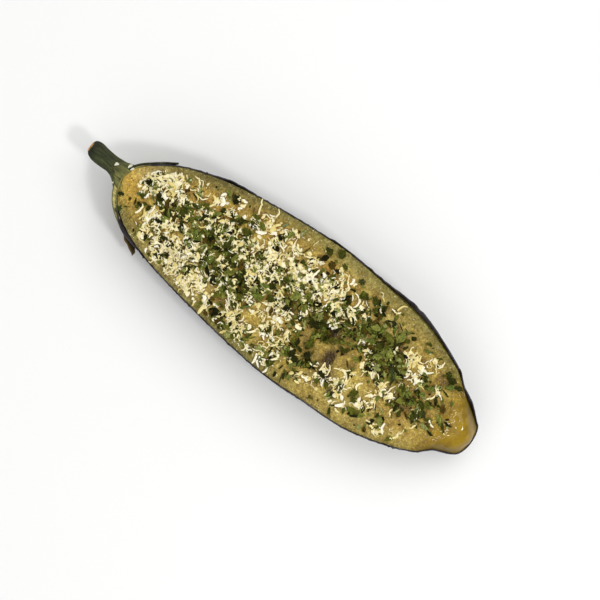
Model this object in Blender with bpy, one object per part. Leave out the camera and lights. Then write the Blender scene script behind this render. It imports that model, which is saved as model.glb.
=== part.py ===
"""Grilled half eggplant with its stem and calyx, the cut face strewn with dried parsley and grated cheese.

Metres, +Z up. The half lies on its skin with the cut face up. +X runs from the stem to the blossom tip,
and the origin is under the middle of the whole thing, on the surface that it lies on. It makes two solids:
half_eggplant, which is flesh and skin with the larger toppings fused to the cut face, and stem_calyx, which
clasps its stem end.
"""

import math
import random

import bmesh
import bpy
from mathutils import Matrix, Vector, noise

MM = 0.001
SEED = 11

# The fruit, after grilling
OVERALL_LENGTH = 219 * MM
FRUIT_LENGTH = 198 * MM
TIP_X = OVERALL_LENGTH / 2
HEEL_X = TIP_X - FRUIT_LENGTH  # the stem end of the flesh
MIDDLE_X = (TIP_X + HEEL_X) / 2
CUT_HEIGHT = 26.5 * MM  # the skin's cut edge over the table, half-way along
HEEL_DROOP = 2.5 * MM
TIP_DROOP = 6.5 * MM
SIDE_RISE = 1.0 * MM  # the +Y edge stands this much higher than the middle, and the -Y edge this much lower
DEPTH_TO_HALF_WIDTH = 0.93
FLOOR_BLEND = 2.0 * MM  # how softly the round belly turns into the flat that it has sagged to
FOOT_HEIGHT = 0.4 * MM  # the flat patch of skin that it lies on is pressed this far out of the belly
FOOT_X = 10 * MM
FOOT_LENGTH, FOOT_WIDTH = 82 * MM, 16 * MM
FOOT_ROOT = 3 * MM  # it flares by half of this on its way up into the belly
CROWN = 1.6 * MM
LUMP_HEIGHT = 0.8 * MM
LUMP_SIZE = 9 * MM
LIP_HEIGHT = 0.7 * MM
LIP_WIDTH = 1.0 * MM
TIP_ROUND = 4.5 * MM  # how far the smooth tip falls away to its rim
TIP_ROUND_WIDTH = 8 * MM
TIP_LENGTH = 22 * MM

# The cut edge of the skin from above: distance from the heel, then the edge's Y on each side, in millimetres
RIM = (
    (0, -0.4, -0.4),
    (3, -9.6, 7.4),
    (8, -14.8, 12.0),
    (22, -21.8, 20.6),
    (48, -27.5, 27.9),
    (98, -33.5, 33.4),
    (124, -32.8, 31.8),
    (148, -31.3, 28.7),
    (172, -24.4, 21.3),
    (176, -22.5, 19.0),
    (180, -20.4, 16.0),
    (186, -14.9, 11.9),
    (194, -11.4, 7.1),
    (196.5, -9.2, 5.0),
    (198, -2.4, -2.4),
)

# The skin bellies out under its cut edge, most towards the tip on the +Y side
BELLY = 2.0 * MM
BELLY_X = 58 * MM
BELLY_REACH = 34 * MM
BELLY_REST = 0.5 * MM
BELLY_DEPTH = 0.3  # share of the section's depth where it is widest
PUCKER = 0.5 * MM

# Where the softened flesh has torn: one line of (x, y), in millimetres
TEAR = ((-16, -9), (0, -3), (10, 4.5), (27, 0), (35, -10), (38, -18), (45, -23))
TEAR_DEPTH = 2.6 * MM
TEAR_WIDTH = 2.2 * MM

# Facets of the fruit: divisions along and across, of the cut face and of the belly alike
ALONG, ACROSS = 58, 18
SIDE_CROWDING = 0.5  # draws rows of the cut face and the belly to the long sides
RIM_CROWDING = 0.45  # draws the cut face's outer rows to the rim, where the lip is
SEAM_MERGE = 0.03 * MM  # the cut face and the belly meet at the rim to within this

# Toppings. The patches where they lie thickest are (x, y, reach along, reach across), in millimetres.
CHEESE_PATCHES = (
    (-68, 10, 13, 4),
    (-42, -17, 17, 7),
    (-18, 20, 6, 4),
    (-2, 13, 11, 6),
    (27, 11, 8, 6),
    (4, -13, 6, 11),
    (35, -20, 6, 4),
    (64, -12, 8, 7),
    (68, 11, 7, 4),
)
PARSLEY_PATCHES = (
    (-54, 3, 12, 7),
    (-33, -2, 13, 6),
    (-14, -9, 10, 5),
    (2, 1, 10, 7),
    (24, 7, 9, 8),
    (25, -12, 9, 8),
    (48, 10, 14, 11),
    (80, -3, 12, 11),
)
PATCH_SHARE = 0.8  # of each topping, the rest being strewn anywhere
PILE_HEIGHT = 1.1 * MM  # how high the finer cheese is heaped in its patches
HEEL_BARE, TIP_BARE = 5 * MM, 17 * MM  # flesh with nothing on it at either end
RIM_MARGIN = 2.8 * MM
CALYX_MARGIN = 4.8 * MM  # from the rim beside the calyx, which the toppings stay clear of
CALYX_REACH = 30 * MM
FLAKES = 112
FLAKE_REACH = (1.7 * MM, 3.2 * MM)
FLAKE_SLIMNESS = (0.45, 0.85)  # its width to its length
FLAKE_TEARS = (0.7, 1.25)  # how far in and out its corners are torn
FLAKE_CURL = (0.1 * MM, 0.4 * MM)
FLAKE_WAVE = 1.3 * MM
FLAKE_THICKNESS = 0.6 * MM
FLAKE_LIFT, FLAKE_TILT = 0.35 * MM, 22  # over the flesh, and degrees of lean at most
SHREDS = 62
SHRED_REACH = (2.2 * MM, 4.6 * MM)  # radius of the arc that a shred curls to
SHRED_BEND = (0.9, 1.9)  # how far round that arc it goes, in radians
SHRED_THICKNESS = 0.75 * MM
SHRED_LIFT, SHRED_TILT = 0.25 * MM, 8
SPACING = 2.1 * MM

# The stem, and the calyx that it spreads into: rings from the cut end to inside the fruit's heel,
# as (x, y, z) of the centre, then the half-width and the half-height, in millimetres
STEM_RINGS = (
    (-109.5, 1.6, 18.2, 3.3, 3.3),
    (-108.6, 1.5, 18.3, 4.3, 4.1),
    (-105, 1.3, 18.6, 4.5, 4.3),
    (-100, 0.9, 19.2, 4.2, 4.0),
    (-96, 0.8, 19.7, 4.0, 3.9),
    (-93, 0.4, 19.9, 4.7, 4.5),
    (-90.5, -0.4, 19.8, 5.9, 5.5),
    (-88.5, -1.0, 19.2, 7.2, 6.6),
    (-86, -1.4, 18.4, 8.0, 7.0),
)
STEM_SIDES = 20
STEM_RIDGES = 5
RIDGE_HEIGHT = 0.28 * MM
CALYX_GAP = 0.35 * MM
CALYX_BITE = 1.2 * MM  # how deep the calyx starts inside the fruit, before the fruit is cut out of it
CALYX_LIFT = 0.4 * MM  # how far over the flesh's heel the knife passed
KNIFE_START = 14 * MM  # where up the stem it came in
KNIFE_CLIMB = 3 * MM
KNIFE_REACH = 60 * MM

# Sepals: angle round the fruit, from -90 at the -Y rim to 90 at the +Y rim, half-angle, length from the heel,
# thickness, and how far the dried tip has curled off the skin, in millimetres
SEPALS = (
    (-80, 16, 14, 1.2, 0.0),
    (-60, 21, 28, 1.3, 7.0),
    (-15, 27, 21, 1.3, 0.8),
    (34, 26, 24, 1.2, 1.2),
    (76, 20, 18, 0.9, 2.4),
)
SEPAL_START = 0.6  # millimetres from the heel
SEPAL_CURL = 5  # how late along its length a sepal lifts off the skin
SEPAL_STEPS = (10, 6)  # along and across

FLESH_COLOUR = (0.50, 0.33, 0.09, 1)
STEM_COLOUR = (0.075, 0.085, 0.035, 1)


def clear_scene():
    for thing in list(bpy.data.objects):
        bpy.data.objects.remove(thing)


def finish_material(name, colour, roughness):
    made = bpy.data.materials.new(name)
    made.use_nodes = True
    shader = made.node_tree.nodes["Principled BSDF"]
    shader.inputs["Base Color"].default_value = colour
    shader.inputs["Roughness"].default_value = roughness
    shader.inputs["Metallic"].default_value = 0.0
    return made


def add_object(name, bm, material=None):
    """An object named name that holds bm's mesh, in the scene."""
    mesh = bpy.data.meshes.new(name)
    bm.to_mesh(mesh)
    bm.free()
    if material:
        mesh.materials.append(material)
    made = bpy.data.objects.new(name, mesh)
    bpy.context.scene.collection.objects.link(made)
    return made


def smooth_step(value):
    value = min(max(value, 0.0), 1.0)
    return value * value * (3 - 2 * value)


def through(points, column, place):
    """The value at place of a smooth curve through column of points, whose first column is the place."""
    last = len(points) - 1
    k = next((i for i in range(last) if place <= points[i + 1][0]), last - 1)
    near, far = points[k], points[k + 1]
    before, after = points[max(k - 1, 0)], points[min(k + 2, last)]
    span = far[0] - near[0]
    slope_near = (far[column] - before[column]) / (far[0] - before[0])
    slope_far = (after[column] - near[column]) / (after[0] - near[0])
    t = (place - near[0]) / span
    return (
        near[column] * (1 + 2 * t) * (1 - t) ** 2
        + slope_near * span * t * (1 - t) ** 2
        + far[column] * t * t * (3 - 2 * t)
        - slope_far * span * t * t * (1 - t)
    )


def turn_at(distance):
    """Distance from the heel as a share of a half turn: widths that grow evenly with it make round ends."""
    share = min(max(distance / FRUIT_LENGTH, 0.0), 1.0)
    return math.acos(1 - 2 * share) / math.pi


RIM_TURNS = [(turn_at(row[0] * MM), row[1] * MM, row[2] * MM) for row in RIM]


def rim(x):
    """Y of the skin's cut edge on the -Y and the +Y side."""
    place = turn_at(x - HEEL_X)
    return through(RIM_TURNS, 1, place), through(RIM_TURNS, 2, place)


def middle_and_half(x):
    low, high = rim(x)
    return (low + high) / 2, max((high - low) / 2, 0.0)


def rim_height(x, t):
    """Height of the skin's cut edge: t is -1 and 1 at the edges, and a straight line joins them between."""
    reach = (x - MIDDLE_X) / (FRUIT_LENGTH / 2)
    droop = (TIP_DROOP if reach > 0 else HEEL_DROOP) * abs(reach) ** 3
    return CUT_HEIGHT - droop + SIDE_RISE * t * (1 - abs(reach) ** 2)


def tear_depth(x, y):
    """How deep the tear is at (x, y)."""
    spot, nearest = Vector((x, y)), 1.0
    for a, b in zip(TEAR, TEAR[1:]):
        start, end = Vector(a) * MM, Vector(b) * MM
        share = min(max((spot - start).dot(end - start) / (end - start).length_squared, 0), 1)
        nearest = min(nearest, (spot - start.lerp(end, share)).length)
    wander = 0.6 + 0.4 * noise.noise(Vector((x, y, 0)) / (7 * MM))
    return TEAR_DEPTH * wander * math.exp(-((nearest / TEAR_WIDTH) ** 2))


def tip_share(x):
    """0 on the body of the fruit, rising to 1 at the end of its smooth tip."""
    return smooth_step(1 - (TIP_X - x) / TIP_LENGTH)


def edge_height(x, t, to_rim):
    """The cut face's height at to_rim from its edge, with the lip that the skin makes and the rounded tip."""
    lip = LIP_HEIGHT * math.exp(-((to_rim / LIP_WIDTH) ** 2)) * (1 - tip_share(x))
    off_side = max(1 - to_rim / TIP_ROUND_WIDTH, 0) ** 2
    off_end = max(1 - (TIP_X - x) / TIP_ROUND_WIDTH, 0) ** 2
    fall = TIP_ROUND * tip_share(x) * (1 - (1 - off_side) * (1 - off_end))
    return rim_height(x, t) + lip - fall


def weight_at(x, y, patches):
    """How thickly a topping lies at (x, y), from 0 to 1."""
    return max(
        math.exp(-(((x / MM - px) / along) ** 2) - ((y / MM - py) / across) ** 2)
        for px, py, along, across in patches
    )


def cut_face(x, t):
    """A point of the cut face: x along the fruit, t across it from -1 at the -Y rim to 1 at the +Y rim."""
    middle, half = middle_and_half(x)
    y = middle + t * half
    to_rim = half * (1 - abs(t))
    inside = smooth_step(to_rim / (4 * MM))
    lump = noise.fractal(Vector((x, y, 3 * MM)) / LUMP_SIZE, 0.8, 2.0, 2) * LUMP_HEIGHT
    pile = PILE_HEIGHT * weight_at(x, y, CHEESE_PATCHES)
    relief = CROWN * (1 - t * t) + lump + pile - tear_depth(x, y)
    return Vector((x, y, edge_height(x, t, to_rim) + relief * inside))


def resting(z):
    """z kept over the foot, with the turn into the flat softened."""
    over = z - FOOT_HEIGHT
    if over > FLOOR_BLEND:
        return z
    return FOOT_HEIGHT + max(over + FLOOR_BLEND, 0.0) ** 2 / (4 * FLOOR_BLEND)


def belly(x, angle):
    """A point of the skin: angle round the section, from -90 degrees at the -Y rim to 90 at the +Y rim."""
    middle, half = middle_and_half(x)
    angle = min(max(angle, -90.0), 90.0)
    t, low = math.sin(math.radians(angle)), math.cos(math.radians(angle))
    fullness = min(half / (12 * MM), 1)
    swell = BELLY * math.exp(-(((x - BELLY_X) / BELLY_REACH) ** 2)) * smooth_step(angle / 30) + BELLY_REST
    swell *= low / BELLY_DEPTH * math.exp(1 - low / BELLY_DEPTH)
    pucker = noise.noise(Vector((x / (26 * MM), angle / 16, 5))) * PUCKER * smooth_step(low * 3)
    drop = half * DEPTH_TO_HALF_WIDTH * low**0.9 + pucker * fullness
    y = middle + t * half + math.copysign(swell * fullness, t)
    return Vector((x, y, resting(edge_height(x, t, 0) - drop)))


def drawn_out(share, amount):
    """share, from -1 to 1, drawn towards its ends: all of it moves at amount 1 and none at 0."""
    return amount * math.sin(math.pi / 2 * share) + (1 - amount) * share


def disc(u, v):
    """A point of the unit disc for a point of the square from -1 to 1, with more rows near the long sides."""
    v = drawn_out(v, SIDE_CROWDING)
    return u * math.sqrt(1 - v * v / 2), v * math.sqrt(1 - u * u / 2)


def on_fruit(across_x, across_y):
    """The place along the fruit, and from rim to rim, of a point of the unit disc."""
    room = math.sqrt(max(1 - across_x * across_x, 0.0))
    t = min(max(across_y / room, -1.0), 1.0) if room > 1e-6 else 0.0
    return MIDDLE_X + across_x * FRUIT_LENGTH / 2, t


def face_point(u, v):
    """The cut face for the grid point (u, v), with the outer rows drawn to the rim."""
    across_x, across_y = disc(u, v)
    reach = math.hypot(across_x, across_y)
    if reach > 1e-9:
        scale = drawn_out(reach, RIM_CROWDING) / reach
        across_x, across_y = across_x * scale, across_y * scale
    return cut_face(*on_fruit(across_x, across_y))


def belly_point(u, v):
    x, t = on_fruit(*disc(u, v))
    return belly(x, 90 * t)


def add_sheet(bm, point_at, along, across):
    """A grid whose corners are point_at(u, v), with u and v from -1 to 1."""
    grid = bmesh.ops.create_grid(bm, x_segments=along, y_segments=across, size=1)["verts"]
    for corner in [v for v in grid if len(v.link_faces) == 1]:
        quad = corner.link_faces[0]  # two of its sides lie along the rim, so it is split from this corner
        bmesh.utils.face_split(quad, corner, max(quad.verts, key=lambda v: (v.co - corner.co).length))
    for corner in grid:
        corner.co = point_at(corner.co.x, corner.co.y)


def fruit_mesh(swollen=0.0):
    """The bare half, every corner moved out by swollen along its normal."""
    bm = bmesh.new()
    add_sheet(bm, face_point, ALONG, ACROSS)
    add_sheet(bm, belly_point, ALONG, ACROSS)
    bmesh.ops.remove_doubles(bm, verts=bm.verts, dist=SEAM_MERGE)
    bmesh.ops.triangulate(bm, faces=bm.faces)
    bmesh.ops.recalc_face_normals(bm, faces=bm.faces)
    bm.normal_update()
    moved = [corner.co + corner.normal * swollen for corner in bm.verts]
    for corner, place in zip(bm.verts, moved):
        corner.co = place
    return bm


def strewn(count, patches, draw, taken):
    """count places on the cut face as (x, t), crowded in patches and SPACING or more from those in taken."""
    places = []
    while len(places) < count:
        x = draw.uniform(HEEL_X + HEEL_BARE, TIP_X - TIP_BARE)
        t = draw.uniform(-1, 1)
        middle, half = middle_and_half(x)
        y = middle + t * half
        margin = CALYX_MARGIN if x < HEEL_X + CALYX_REACH else RIM_MARGIN
        chance = PATCH_SHARE * weight_at(x, y, patches) + 1 - PATCH_SHARE
        spaced = all(math.hypot(x - ox, y - oy) > SPACING for ox, oy in taken)
        if half * (1 - abs(t)) > margin and spaced and draw.random() < chance:
            places.append((x, t))
            taken.append((x, y))
    return places


def seat(x, t, lift, draw, tilt):
    """The pose of a topping at (x, t): turned at random, leaning up to tilt degrees, lift off the flesh."""
    step = 1 * MM
    middle, half = middle_and_half(x)
    spot = cut_face(x, t)
    along = cut_face(x + step, t) - spot
    across = cut_face(x, min(t + step / half, 1)) - spot
    normal = along.cross(across).normalized()
    lean = Matrix.Rotation(math.radians(draw.uniform(-tilt, tilt)), 4, "X")
    turn = Matrix.Rotation(draw.uniform(0, 2 * math.pi), 4, "Z")
    upright = normal.to_track_quat("Z", "Y").to_matrix().to_4x4()
    return Matrix.Translation(spot + normal * lift) @ upright @ turn @ lean


def flake_mesh(draw):
    """A torn flake of dried parsley, a wavy leaf fragment."""
    bm = bmesh.new()
    bmesh.ops.create_circle(bm, cap_ends=True, radius=draw.uniform(*FLAKE_REACH), segments=6)
    slim = draw.uniform(*FLAKE_SLIMNESS)
    for corner in bm.verts:
        corner.co = corner.co * draw.uniform(*FLAKE_TEARS)
        corner.co.y *= slim
    bmesh.ops.triangulate(bm, faces=bm.faces)
    lower = bm.verts[:]
    raised = bmesh.ops.extrude_face_region(bm, geom=bm.faces[:])
    upper = [part for part in raised["geom"] if isinstance(part, bmesh.types.BMVert)]
    bmesh.ops.translate(bm, verts=lower, vec=(0, 0, -FLAKE_THICKNESS / 2))
    bmesh.ops.translate(bm, verts=upper, vec=(0, 0, FLAKE_THICKNESS / 2))
    curl, phase = draw.uniform(*FLAKE_CURL), draw.uniform(0, 2 * math.pi)
    for corner in bm.verts:
        corner.co.z += curl * math.sin(corner.co.x / FLAKE_WAVE + phase)
    bmesh.ops.recalc_face_normals(bm, faces=bm.faces)
    return bm


def shred_mesh(draw):
    """A curled shred of grated cheese, three-sided."""
    bm = bmesh.new()
    reach, bend = draw.uniform(*SHRED_REACH), draw.uniform(*SHRED_BEND)
    ring = bmesh.ops.create_circle(bm, cap_ends=True, radius=SHRED_THICKNESS, segments=3)
    upright = Matrix.Rotation(math.pi / 2, 3, "X")
    bmesh.ops.rotate(bm, verts=ring["verts"], cent=(0, 0, 0), matrix=upright)
    bmesh.ops.translate(bm, verts=ring["verts"], vec=(reach, 0, 0))
    bmesh.ops.rotate(bm, verts=ring["verts"], cent=(0, 0, 0), matrix=Matrix.Rotation(-bend / 2, 3, "Z"))
    bmesh.ops.spin(
        bm,
        geom=bm.faces[:],
        cent=(0, 0, 0),
        axis=(0, 0, 1),
        angle=bend,
        steps=3,
        use_duplicate=False,
    )
    bmesh.ops.translate(bm, verts=bm.verts, vec=(-reach, 0, 0))
    bmesh.ops.recalc_face_normals(bm, faces=bm.faces)
    return bm


def keep_largest(target):
    """Drops every loose scrap and sealed pocket that a union left, so that one closed surface stays."""
    bm = bmesh.new()
    bm.from_mesh(target.data)
    left, shells = set(bm.verts), []
    while left:
        shell, edge_of_shell = set(), [left.pop()]
        while edge_of_shell:
            corner = edge_of_shell.pop()
            shell.add(corner)
            fresh = {e.other_vert(corner) for e in corner.link_edges} & left
            left -= fresh
            edge_of_shell.extend(fresh)
        shells.append(shell)
    largest = max(shells, key=len)
    scraps = [corner for corner in bm.verts if corner not in largest]
    bmesh.ops.delete(bm, geom=scraps, context="VERTS")
    bm.to_mesh(target.data)
    bm.free()


def apply_modifiers(target):
    graph = bpy.context.evaluated_depsgraph_get()
    made = bpy.data.meshes.new_from_object(target.evaluated_get(graph))
    target.modifiers.clear()
    target.data = made


def combine(target, others, operation):
    """Joins others to target, or cuts them from it, and removes them."""
    group = bpy.data.collections.new("group")
    bpy.context.scene.collection.children.link(group)
    for other in others:
        bpy.context.scene.collection.objects.unlink(other)
        group.objects.link(other)
    step = target.modifiers.new(operation, "BOOLEAN")
    step.operation = operation
    step.operand_type = "COLLECTION"
    step.collection = group
    apply_modifiers(target)
    for other in others:
        bpy.data.objects.remove(other)
    bpy.data.collections.remove(group)
    keep_largest(target)


def make_toppings():
    """The larger flakes of parsley and shreds of cheese, sunk part-way into the cut face."""
    draw, taken, made = random.Random(SEED), [], []
    for x, t in strewn(SHREDS, CHEESE_PATCHES, draw, taken):
        bm = shred_mesh(draw)
        bm.transform(seat(x, t, SHRED_LIFT, draw, SHRED_TILT))
        made.append(add_object("shred", bm))
    for x, t in strewn(FLAKES, PARSLEY_PATCHES, draw, taken):
        bm = flake_mesh(draw)
        bm.transform(seat(x, t, FLAKE_LIFT, draw, FLAKE_TILT))
        made.append(add_object("flake", bm))
    return made


def foot_mesh():
    """The flat patch that it lies on, flaring up into the belly."""
    bm = bmesh.new()
    bmesh.ops.create_cube(bm, size=1)
    for corner in bm.verts:
        flare = FOOT_ROOT if corner.co.z > 0 else 0
        x = FOOT_X + corner.co.x * (FOOT_LENGTH + flare)
        corner.co = (x, corner.co.y * (FOOT_WIDTH + flare), FOOT_ROOT if corner.co.z > 0 else 0)
    return bm


def make_half_eggplant():
    flesh = finish_material("grilled_flesh", FLESH_COLOUR, 0.35)
    half = add_object("half_eggplant", fruit_mesh(), flesh)
    combine(half, [add_object("foot", foot_mesh()), *make_toppings()], "UNION")
    return half


def stem_mesh():
    """The ridged stem, spreading into the base of the calyx, as one lofted tube."""
    bm = bmesh.new()
    rings = []
    for x, y, z, half_width, half_height in STEM_RINGS:
        ring = bmesh.ops.create_circle(bm, radius=1, segments=STEM_SIDES)["verts"]
        for corner in ring:
            angle = math.atan2(corner.co.y, corner.co.x)
            swell = 1 + RIDGE_HEIGHT / (half_width * MM) * math.cos(STEM_RIDGES * angle)
            reach = Vector((0, half_width * math.cos(angle), half_height * math.sin(angle)))
            corner.co = (Vector((x, y, z)) + reach * swell) * MM
        rings.append(ring)
    bm.edges.ensure_lookup_table()
    loops = [[e for e in bm.edges if set(e.verts) <= set(ring)] for ring in rings]
    for near, far in zip(loops, loops[1:]):
        bmesh.ops.bridge_loops(bm, edges=near + far)
    bmesh.ops.holes_fill(bm, edges=loops[0] + loops[-1])
    bmesh.ops.triangulate(bm, faces=bm.faces)
    bmesh.ops.recalc_face_normals(bm, faces=bm.faces)
    return bm


def skin_point(x, angle, off):
    """A point at distance off outside the skin."""
    step = 0.5 * MM
    here = belly(x, angle)
    along = belly(x + step, angle) - here
    around = belly(x, angle + 2) - belly(x, angle - 2)
    return here + around.cross(along).normalized() * off


def sepal_mesh(angle, half_angle, length, thickness, curl):
    """One sepal: a tapering tongue that lies on the skin, its dried tip curled away."""
    start, end = HEEL_X + SEPAL_START * MM, HEEL_X + length * MM

    def place(u, v, outer):
        share = (u + 1) / 2
        taper = max((1 - share**2.2) ** 0.8, 0.12)
        x = start + (end - start) * share
        side = min(max(angle + v * half_angle * taper, -89.5), 89.5)
        lift = curl * MM * share**SEPAL_CURL
        thick = CALYX_GAP + thickness * MM * (1.3 - 0.5 * share - 0.4 * abs(v) ** 3)
        return skin_point(x, side, lift + (thick if outer else -CALYX_BITE))

    bm = bmesh.new()
    along, across = SEPAL_STEPS
    bmesh.ops.create_grid(bm, x_segments=along, y_segments=across, size=1)
    raised = bmesh.ops.extrude_face_region(bm, geom=bm.faces[:])
    outer = {part for part in raised["geom"] if isinstance(part, bmesh.types.BMVert)}
    for corner in bm.verts:
        corner.co = place(corner.co.x, corner.co.y, corner in outer)
    bmesh.ops.triangulate(bm, faces=bm.faces)
    bmesh.ops.recalc_face_normals(bm, faces=bm.faces)
    return bm


def knife_mesh():
    """A block over the cut, which takes off what the knife took off the stem's base and the sepals."""
    bm = bmesh.new()
    bmesh.ops.create_cube(bm, size=2 * KNIFE_REACH)
    bottom = rim_height(HEEL_X, 0) + CALYX_LIFT
    bmesh.ops.translate(bm, verts=bm.verts, vec=(HEEL_X + KNIFE_REACH - KNIFE_START, 0, bottom + KNIFE_REACH))
    for corner in bm.verts:
        if corner.co.x > HEEL_X and corner.co.z < bottom + KNIFE_REACH:
            corner.co.z += KNIFE_CLIMB
    return bm


def make_stem_calyx():
    bark = finish_material("stem_green", STEM_COLOUR, 0.7)
    stem = add_object("stem_calyx", stem_mesh(), bark)
    combine(stem, [add_object("sepal", sepal_mesh(*row)) for row in SEPALS], "UNION")
    cutters = [add_object("fruit", fruit_mesh(CALYX_GAP)), add_object("knife", knife_mesh())]
    combine(stem, cutters, "DIFFERENCE")
    return stem


def main():
    clear_scene()
    for made in (make_half_eggplant(), make_stem_calyx()):
        made.data.shade_smooth()
        made.data.set_sharp_from_angle(angle=math.radians(40))


main()
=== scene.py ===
"""Looks of the grilled eggplant half: oily flesh in charred skin, stem and calyx, parsley and grated cheese.

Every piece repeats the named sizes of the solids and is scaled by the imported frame. Sizes are in millimetres
until a finished mesh is scaled by MM. +X runs from the stem to the blossom tip and +Z is up.
"""

import math
import random

import bmesh
import bpy
import numpy as np
from mathutils import Matrix, Vector, noise


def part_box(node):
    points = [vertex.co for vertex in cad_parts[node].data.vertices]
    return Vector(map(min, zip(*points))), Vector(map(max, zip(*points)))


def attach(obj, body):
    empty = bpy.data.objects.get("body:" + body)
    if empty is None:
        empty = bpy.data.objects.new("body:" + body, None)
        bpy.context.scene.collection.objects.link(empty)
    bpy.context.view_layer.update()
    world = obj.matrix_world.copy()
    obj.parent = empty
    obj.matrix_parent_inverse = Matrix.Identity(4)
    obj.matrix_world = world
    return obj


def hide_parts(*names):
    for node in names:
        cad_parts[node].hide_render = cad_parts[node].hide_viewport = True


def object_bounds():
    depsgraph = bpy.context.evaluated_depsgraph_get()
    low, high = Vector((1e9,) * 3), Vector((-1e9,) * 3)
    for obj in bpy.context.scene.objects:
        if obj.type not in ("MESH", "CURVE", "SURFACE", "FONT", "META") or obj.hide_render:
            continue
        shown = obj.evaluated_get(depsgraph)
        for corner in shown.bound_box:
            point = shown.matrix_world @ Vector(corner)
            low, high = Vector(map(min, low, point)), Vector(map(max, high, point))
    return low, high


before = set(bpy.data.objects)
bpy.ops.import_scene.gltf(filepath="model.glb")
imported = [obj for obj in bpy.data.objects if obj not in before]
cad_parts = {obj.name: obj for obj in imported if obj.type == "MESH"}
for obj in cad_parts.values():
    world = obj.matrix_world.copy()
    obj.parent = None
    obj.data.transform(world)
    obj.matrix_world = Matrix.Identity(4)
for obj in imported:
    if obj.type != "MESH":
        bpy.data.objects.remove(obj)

CAD_LOW, CAD_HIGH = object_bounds()
FRUIT_LOW, FRUIT_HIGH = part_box("half_eggplant")
OVERALL_LENGTH = 219
MM = (CAD_HIGH.x - CAD_LOW.x) / OVERALL_LENGTH
SEED = 11
noise.seed_set(SEED)  # without it noise_vector starts somewhere else at each run

# The fruit, as the solids have it
HEEL_X, TIP_X = FRUIT_LOW.x / MM, FRUIT_HIGH.x / MM
FRUIT_LENGTH = TIP_X - HEEL_X
MIDDLE_X = (TIP_X + HEEL_X) / 2
CUT_HEIGHT = 26.5
HEEL_DROOP, TIP_DROOP = 2.5, 6.5
SIDE_RISE = 1.0
DEPTH_TO_HALF_WIDTH = 0.93
FLOOR_BLEND = 2.0
CROWN = 1.6
LUMP_HEIGHT, LUMP_SIZE = 0.8, 9
TIP_ROUND, TIP_ROUND_WIDTH, TIP_LENGTH = 4.5, 8, 22
RIM = (
    (0, -0.4, -0.4),
    (3, -9.6, 7.4),
    (8, -14.8, 12.0),
    (22, -21.8, 20.6),
    (48, -27.5, 27.9),
    (98, -33.5, 33.4),
    (124, -32.8, 31.8),
    (148, -31.3, 28.7),
    (172, -24.4, 21.3),
    (176, -22.5, 19.0),
    (180, -20.4, 16.0),
    (186, -14.9, 11.9),
    (194, -11.4, 7.1),
    (196.5, -9.2, 5.0),
    (198, -2.4, -2.4),
)
BELLY, BELLY_X, BELLY_REACH = 2.0, 58, 34
BELLY_REST, BELLY_DEPTH = 0.5, 0.3
PUCKER = 0.5
TEAR = ((-16, -9), (0, -3), (10, 4.5), (27, 0), (35, -10), (38, -18), (45, -23))
TEAR_DEPTH, TEAR_WIDTH = 2.6, 2.2
RELIEF_RIM = 4  # the relief of the cut face starts this far in
SIDE_CROWDING, RIM_CROWDING = 0.5, 0.45

# Skin
SKIN_THICKNESS = 0.6
SKIN_GRID = (300, 84)
RAGGED_LIP = 0.75  # how far the torn edge of the skin stands over the flesh at most
EDGE_WANDER = 0.45  # and how far it strays sideways
# Where the torn edge leans in over the flesh: (x, reach, side, how far)
SKIN_FOLDS = (
    (98, 5, 1, 1.6),
    (-46, 9, 1, 0.9),
    (86, 4, 1, 0.8),
    (55, 20, 1, 2.5),
    (10, 9, 1, 0.7),
    (-74, 8, -1, 1.8),
    (20, 8, -1, 0.5),
)
WRINKLE = 0.35  # the grilled skin shrinks into long wrinkles of this depth
WRINKLE_LENGTH, WRINKLE_PITCH = 20, 7  # millimetres along, degrees round
CREASE_SHARE, CREASE_LENGTH, CREASE_PITCH = 0.4, 4, 9  # and into finer ones across them
EDGE_REACH = 1.2  # how far down from the cut the torn edge is felt
FOLD_RISE = 0.35  # how much a fold stands up at most

# Flesh
FLESH_GRID = (300, 110)
FLESH_INSET = 0.45
GRAIN_HEIGHT, GRAIN_SIZE = 0.4, 2.4  # cooked pulp is lumpy at the size of its seeds

# Toppings
CHEESE_PATCHES = (
    (-68, 10, 13, 4),
    (-42, -17, 17, 7),
    (-18, 20, 6, 4),
    (-2, 13, 11, 6),
    (27, 11, 8, 6),
    (4, -13, 6, 11),
    (35, -20, 6, 4),
    (64, -12, 8, 7),
    (68, 11, 7, 4),
)
PARSLEY_PATCHES = (
    (-54, 3, 12, 7),
    (-33, -2, 13, 6),
    (-14, -9, 10, 5),
    (2, 1, 10, 7),
    (24, 7, 9, 8),
    (25, -12, 9, 8),
    (48, 10, 14, 11),
    (80, -3, 12, 11),
)
PATCH_SHARE = 0.8
HEEL_BARE, TIP_BARE = 5, 17
RIM_MARGIN = 2.8
CALYX_MARGIN, CALYX_REACH = 4.8, 30
LARGE_FLAKES, LARGE_SHREDS = 112, 62
SPACING = 2.1
FINE_LEAVES, FINE_GRATINGS = 1900, 3400
FINE_HEEL_BARE = 8
HALF_REACH = 34  # the half is nowhere wider than this to either side
SHRED_LIFT, FLAKE_LIFT = 0.8, 1.1  # of the large ones, off the flesh
LEAST_LIFT, PICKED_LIFT, STALK_LIFT, LONG_LIFT = 0.5, 2.5, 3.2, 1.8  # where it is bare, and on thick toppings
THIN_LAYER, HEAP_HEIGHT = 0.7, 1.5  # of the cheese, and how much more where it lies thickest
# How many different shapes are made of each of the finer kinds
FLAKE_SHAPES, SLIVER_SHAPES, SHRED_SHAPES, CRUMB_SHAPES = 90, 30, 120, 30
LEAF_THICKNESS, FINE_LEAF_THICKNESS = 0.26, 0.16
MOST_BEND = 2.2  # of a fine shred, in radians
# Thickness and flatness of fine shreds: thread-like, plain, and wide and flat
SHRED_SECTIONS = (((0.14, 0.22), 0.8), ((0.22, 0.38), 0.6), ((0.42, 0.75), 0.25))
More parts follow.
